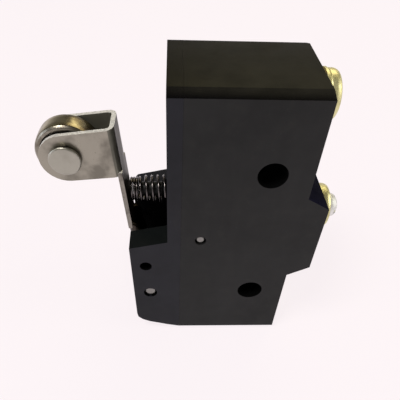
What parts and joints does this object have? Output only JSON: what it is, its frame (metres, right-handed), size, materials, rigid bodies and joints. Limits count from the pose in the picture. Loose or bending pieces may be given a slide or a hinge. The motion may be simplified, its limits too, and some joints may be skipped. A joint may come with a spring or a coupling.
{
  "type": "limit switch",
  "caption": "Black snap-action limit switch with a hinged lever, a roller at its tip, a coil return spring and brass screw terminals.",
  "frame": {"origin": "midway between the two mounting holes, on the front side face", "axes": "+X towards the screw terminals, away from the lever; +Y through the thickness to the back side face; +Z along the long side towards the roller end"},
  "size_m": [0.0486, 0.0174, 0.0492],
  "materials": {
    "case_black": "moulded phenolic, dull",
    "cover_black": "moulded phenolic, dull",
    "pin_steel": "ground steel pin",
    "lever_steel": "pressed stainless sheet, satin",
    "axle_steel": "upset rivet head, satin",
    "roller_metal": "turned metal with a warm tint",
    "spring_steel": "dark drawn wire",
    "plunger_black": "moulded phenolic",
    "terminal_brass": "stamped brass strip",
    "washer_brass": "turned brass",
    "screw_brass": "turned brass",
    "screw_plated": "pale plated metal",
    "contact_silver": "silver contact",
    "blade_copper": "copper alloy spring strip"
  },
  "bodies": {
    "base": {"case": "case_black", "cover": "cover_black", "case_pin": "pin_steel", "pivot_pin": "pin_steel", "return_spring": "spring_steel", "terminal_common": "terminal_brass", "terminal_open": "terminal_brass", "terminal_closed": "terminal_brass", "contact_open": "contact_silver", "contact_closed": "contact_silver"},
    "lever": {"lever": "lever_steel", "roller_axle": "axle_steel"},
    "roller": {"roller": "roller_metal"},
    "plunger": {"plunger": "plunger_black"},
    "blade": {"moving_blade": "blade_copper", "moving_contact": "contact_silver"},
    "clamp_common": {"washer_common": "washer_brass"},
    "turn_common": {"screw_common": "screw_brass"},
    "clamp_open": {"washer_open": "washer_brass"},
    "turn_open": {"screw_open": "screw_plated"},
    "clamp_closed": {"washer_closed": "washer_brass"},
    "turn_closed": {"screw_closed": "screw_brass"}
  },
  "joints": [
    {"name": "lever_hinge", "type": "hinge", "parent": "base", "child": "lever", "pos_m": [-0.01769, 0.00873, -0.01336], "axis": [0, 1, 0], "range_deg": [0, 8], "stiffness_Nm_per_rad": 0.15, "springref_deg": -5.73, "deforming": ["return_spring"]},
    {"name": "roller_spin", "type": "hinge", "parent": "lever", "child": "roller", "pos_m": [-0.02945, 0.00873, 0.01119], "axis": [0, 1, 0], "continuous": true},
    {"name": "plunger_slide", "type": "slide", "parent": "base", "child": "plunger", "axis": [1, 0, 0], "range_m": [0, 0.0006]},
    {"name": "blade_rock", "type": "hinge", "parent": "base", "child": "blade", "pos_m": [-0.00715, 0.00873, -0.0135], "axis": [0, 1, 0], "range_deg": [0, 2.05]},
    {"name": "clamp_common_lift", "type": "slide", "parent": "base", "child": "clamp_common", "axis": [1, 0, 0], "range_m": [0, 0.0018]},
    {"name": "screw_common_turn", "type": "hinge", "parent": "clamp_common", "child": "turn_common", "pos_m": [0.006, 0.00873, -0.0203], "axis": [1, 0, 0], "range_deg": [0, 1080]},
    {"name": "clamp_open_lift", "type": "slide", "parent": "base", "child": "clamp_open", "axis": [1, 0, 0], "range_m": [0, 0.0018]},
    {"name": "screw_open_turn", "type": "hinge", "parent": "clamp_open", "child": "turn_open", "pos_m": [0.0095, 0.00873, 0], "axis": [1, 0, 0], "range_deg": [0, 1080]},
    {"name": "clamp_closed_lift", "type": "slide", "parent": "base", "child": "clamp_closed", "axis": [1, 0, 0], "range_m": [-0.0012, 0.0006]},
    {"name": "screw_closed_turn", "type": "hinge", "parent": "clamp_closed", "child": "turn_closed", "pos_m": [0.006, 0.00873, 0.0203], "axis": [1, 0, 0], "range_deg": [-720, 360]}
  ],
  "couplings": [
    {"joint": "plunger_slide", "follows": "lever_hinge", "m_per_rad": 0.00429},
    {"joint": "blade_rock", "follows": "lever_hinge", "ratio": 0.25},
    {"joint": "screw_common_turn", "follows": "clamp_common_lift", "rad_per_m": 10472},
    {"joint": "screw_open_turn", "follows": "clamp_open_lift", "rad_per_m": 10472},
    {"joint": "screw_closed_turn", "follows": "clamp_closed_lift", "rad_per_m": 10472}
  ]
}
